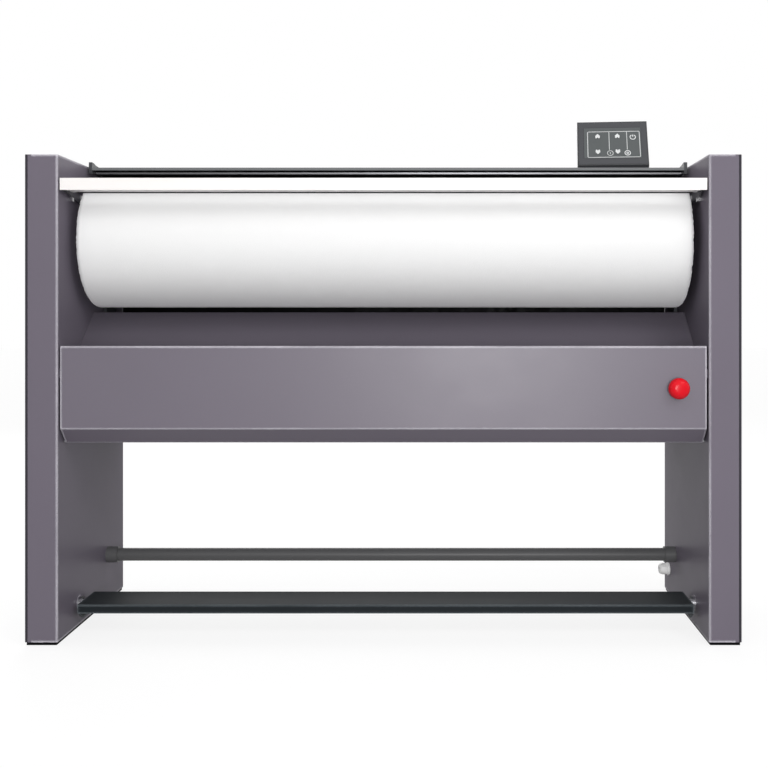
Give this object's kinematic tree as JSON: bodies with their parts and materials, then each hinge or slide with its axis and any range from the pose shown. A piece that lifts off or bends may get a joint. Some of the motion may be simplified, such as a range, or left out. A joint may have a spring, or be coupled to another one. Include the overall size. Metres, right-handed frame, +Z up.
{
  "type": "flatwork ironer",
  "caption": "Free-standing flatwork ironer: padded roller, swinging heated chest behind it, finger guard, linen trough, foot pedal, stop button and keypad box on a post.",
  "frame": {"origin": "on the floor, under the middle of the bounding box", "axes": "+X to the operator's right along the roller, +Y away from the operator, +Z up"},
  "size_m": [1.578, 0.505, 1.2222],
  "materials": {
    "body_paint": "satin",
    "box_paint": "satin",
    "chest_plate": "polished",
    "chest_cover": "satin",
    "guard_white": "gloss",
    "pedal_grey": "satin",
    "frame_grey": "satin",
    "galvanised": "dull",
    "machined_steel": "machined",
    "bearing_iron": "cast",
    "motor_blue": "satin",
    "roller_cloth": "woven",
    "roller_padding": "felt",
    "mineral_wool": "wool",
    "black_rubber": "matte",
    "white_plastic": "matte",
    "black_plastic": "matte",
    "red_plastic": "gloss",
    "keypad_film": "satin",
    "key_grey": "satin",
    "board_green": "gloss"
  },
  "bodies": {
    "frame": {"left_column": "body_paint", "right_column": "body_paint", "left_outer_cover": "body_paint", "right_outer_cover": "body_paint", "base_strips": "black_rubber", "front_panel": "body_paint", "return_slide": "body_paint", "beam_tray": "galvanised", "rear_panel": "galvanised", "rear_tie_bar": "frame_grey", "cable_gland": "white_plastic", "roller_bearings": "bearing_iron", "spring_studs": "machined_steel", "wall_bushes": "machined_steel", "guard_pins": "machined_steel", "guard_switch": "black_plastic", "gearbox": "bearing_iron", "drive_motor": "motor_blue", "drive_belt": "black_rubber", "chest_stops": "machined_steel", "button_collar": "black_plastic", "button_contacts": "black_plastic", "control_post": "guard_white", "switchgear": "white_plastic"},
    "roller": {"roller_drum": "frame_grey", "roller_ends": "frame_grey", "roller_padding": "roller_padding", "roller_cloth": "roller_cloth", "roller_pulley": "machined_steel"},
    "motor": {"motor_pulley": "machined_steel"},
    "chest": {"heated_chest": "chest_plate", "strip_heaters": "galvanised", "chest_insulation": "mineral_wool", "chest_cover": "chest_cover", "chest_end_plates": "chest_cover", "chest_shafts": "machined_steel", "chest_levers": "machined_steel", "return_springs": "machined_steel"},
    "left_rod": {"left_pull_rod": "machined_steel"},
    "right_rod": {"right_pull_rod": "machined_steel"},
    "pedal": {"pedal_plate": "pedal_grey", "pedal_shafts": "machined_steel", "pedal_levers": "machined_steel"},
    "guard": {"guard_bar": "guard_white", "guard_arms": "guard_white"},
    "button_stem": {"button_stem": "black_plastic"},
    "button_cap": {"button_cap": "red_plastic"},
    "control_box": {"control_housing": "box_paint", "control_lid": "box_paint", "keypad_overlay": "keypad_film", "circuit_board": "board_green", "swivel_arm": "guard_white"},
    "up_key_left": {"up_key_left": "key_grey"},
    "down_key_left": {"down_key_left": "key_grey"},
    "up_key_right": {"up_key_right": "key_grey"},
    "down_key_right": {"down_key_right": "key_grey"},
    "power_key": {"power_key": "key_grey"},
    "start_key": {"start_key": "key_grey"},
    "stop_key": {"stop_key": "key_grey"}
  },
  "joints": [
    {"name": "roller_spin", "type": "hinge", "parent": "frame", "child": "roller", "pos_m": [0, -0.0175, 0.9], "axis": [1, 0, 0], "continuous": true},
    {"name": "motor_spin", "type": "hinge", "parent": "frame", "child": "motor", "pos_m": [0.751, -0.0775, 0.5294], "axis": [1, 0, 0], "continuous": true},
    {"name": "chest_swing", "type": "hinge", "parent": "frame", "child": "chest", "pos_m": [0, 0.1025, 0.712], "axis": [1, 0, 0], "range_deg": [0, 4.77], "stiffness_Nm_per_rad": 150, "springref_deg": -5.73, "deforming": ["return_springs"]},
    {"name": "left_rod_swing", "type": "hinge", "parent": "chest", "child": "left_rod", "pos_m": [-0.775, -0.16727, 0.72324], "axis": [1, 0, 0], "range_deg": [-4.77, 0]},
    {"name": "right_rod_swing", "type": "hinge", "parent": "chest", "child": "right_rod", "pos_m": [0.775, -0.16727, 0.72324], "axis": [1, 0, 0], "range_deg": [-4.77, 0]},
    {"name": "pedal_swing", "type": "hinge", "parent": "frame", "child": "pedal", "pos_m": [0, -0.0875, 0.057], "axis": [1, 0, 0], "range_deg": [0, 16.15]},
    {"name": "guard_swing", "type": "hinge", "parent": "frame", "child": "guard", "pos_m": [0, -0.1175, 0.995], "axis": [-1, 0, 0], "range_deg": [0, 15]},
    {"name": "button_push", "type": "slide", "parent": "frame", "child": "button_stem", "axis": [0, 1, 0], "range_m": [0, 0.005], "stiffness_N_per_m": 600, "springref_m": -0.002},
    {"name": "button_twist", "type": "hinge", "parent": "button_stem", "child": "button_cap", "pos_m": [0.649, -0.2215, 0.566], "axis": [0, -1, 0], "range_deg": [0, 45], "stiffness_Nm_per_rad": 0.05},
    {"name": "box_swivel", "type": "hinge", "parent": "frame", "child": "control_box", "pos_m": [0.57051, 0.2345, 1.15], "axis": [0, 0, 1], "range_deg": [-30, 30]},
    {"name": "up_press_left", "type": "slide", "parent": "control_box", "child": "up_key_left", "axis": [0.0856, 0.8147, -0.5736], "range_m": [0, 0.0006], "stiffness_N_per_m": 1500, "springref_m": -0.0003},
    {"name": "down_press_left", "type": "slide", "parent": "control_box", "child": "down_key_left", "axis": [0.0856, 0.8147, -0.5736], "range_m": [0, 0.0006], "stiffness_N_per_m": 1500, "springref_m": -0.0003},
    {"name": "up_press_right", "type": "slide", "parent": "control_box", "child": "up_key_right", "axis": [0.0856, 0.8147, -0.5736], "range_m": [0, 0.0006], "stiffness_N_per_m": 1500, "springref_m": -0.0003},
    {"name": "down_press_right", "type": "slide", "parent": "control_box", "child": "down_key_right", "axis": [0.0856, 0.8147, -0.5736], "range_m": [0, 0.0006], "stiffness_N_per_m": 1500, "springref_m": -0.0003},
    {"name": "power_press", "type": "slide", "parent": "control_box", "child": "power_key", "axis": [0.0856, 0.8147, -0.5736], "range_m": [0, 0.0006], "stiffness_N_per_m": 1500, "springref_m": -0.0003},
    {"name": "start_press", "type": "slide", "parent": "control_box", "child": "start_key", "axis": [0.0856, 0.8147, -0.5736], "range_m": [0, 0.0006], "stiffness_N_per_m": 1500, "springref_m": -0.0003},
    {"name": "stop_press", "type": "slide", "parent": "control_box", "child": "stop_key", "axis": [0.0856, 0.8147, -0.5736], "range_m": [0, 0.0006], "stiffness_N_per_m": 1500, "springref_m": -0.0003}
  ],
  "couplings": [
    {"joint": "motor_spin", "follows": "roller_spin", "ratio": 2},
    {"joint": "pedal_swing", "follows": "chest_swing", "ratio": 3.3852},
    {"joint": "left_rod_swing", "follows": "chest_swing", "ratio": -1},
    {"joint": "right_rod_swing", "follows": "chest_swing", "ratio": -1}
  ]
}
